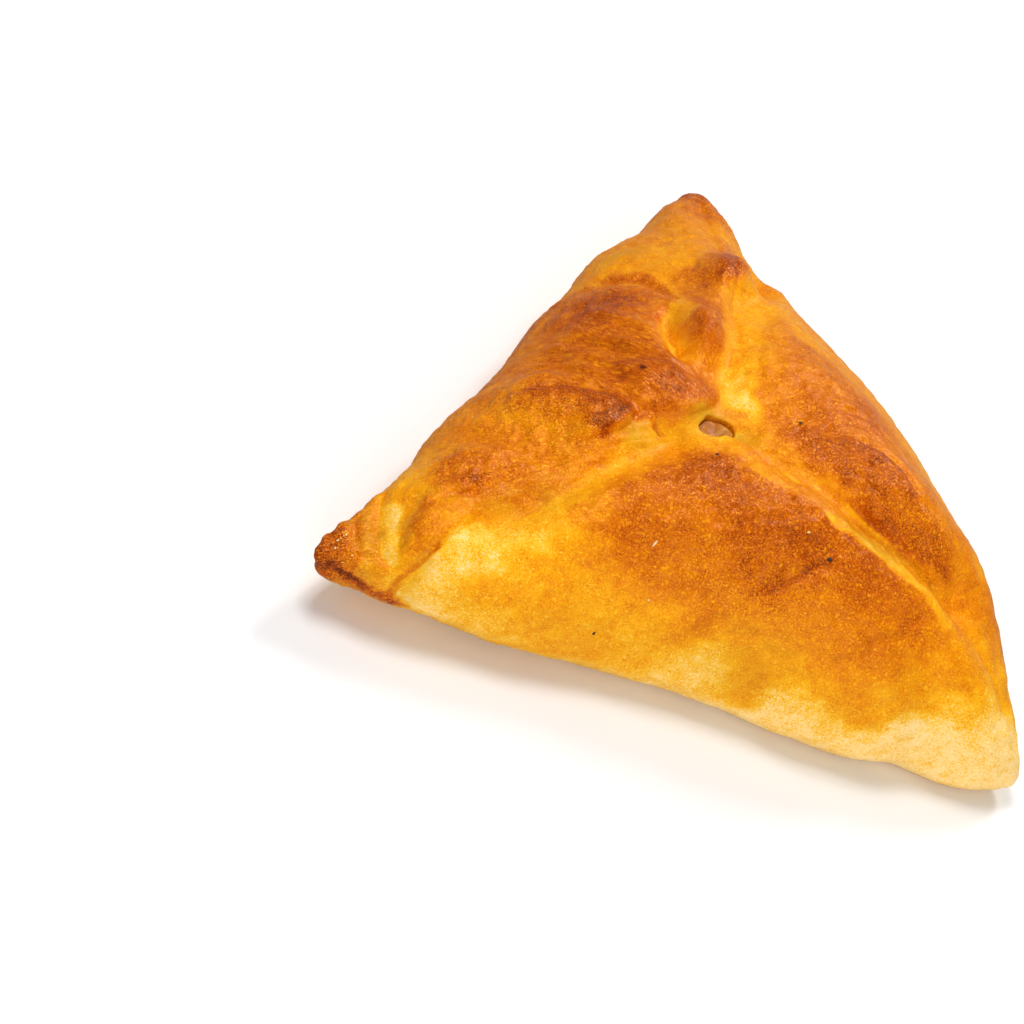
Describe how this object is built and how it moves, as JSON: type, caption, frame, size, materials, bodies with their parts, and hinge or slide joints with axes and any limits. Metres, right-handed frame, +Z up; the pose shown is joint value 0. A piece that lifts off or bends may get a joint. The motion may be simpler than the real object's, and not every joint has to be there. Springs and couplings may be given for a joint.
{
  "type": "samsa",
  "caption": "Triangular baked samsa: browned dough parcel with blunt corners, its flaps folded in to a small vent that shows the meat and onion filling.",
  "frame": {"origin": "middle of the plan box, on the flat base that the parcel rests on", "axes": "+Z up from the base; +X along the front edge towards the right corner; +Y from the front edge to the far corner"},
  "size_m": [0.1336, 0.1196, 0.0403],
  "materials": {
    "crust": "egg-washed baked dough, golden to brown, satin with a light gloss",
    "filling": "cooked minced meat and onion, moist and dull"
  },
  "bodies": {
    "root": {"crust": "crust", "filling": "filling"}
  },
  "joints": []
}
